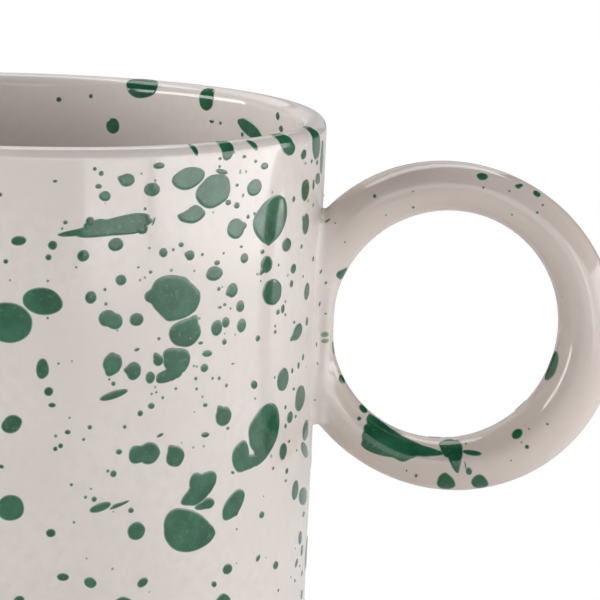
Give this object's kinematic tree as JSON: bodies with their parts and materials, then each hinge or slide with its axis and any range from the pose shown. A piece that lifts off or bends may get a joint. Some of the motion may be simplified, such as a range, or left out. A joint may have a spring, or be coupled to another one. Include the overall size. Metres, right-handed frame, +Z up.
{
  "type": "mug",
  "caption": "Straight-sided glazed stoneware mug with a rounded lip and a large round ring handle of round section, on a flat bare foot.",
  "frame": {"origin": "centre of the flat base, on the table", "axes": "+Z up along the mug's axis, +X from the axis towards the ring handle, +Y across the handle's ring"},
  "size_m": [0.1254, 0.085, 0.09],
  "materials": {
    "bare_stoneware": "fired, unglazed and dry to the touch",
    "cream_glaze": "glossy off-white glaze, under the green splashes",
    "green_glaze": "glossy deep green splashes, raised a tenth of a millimetre on the cream glaze"
  },
  "bodies": {
    "root": {"stoneware_body": "bare_stoneware", "outside_glaze": "cream_glaze", "inside_glaze": "cream_glaze", "ring_handle": "bare_stoneware", "handle_glaze": "cream_glaze", "handle_slip_joint": "bare_stoneware"}
  },
  "joints": []
}
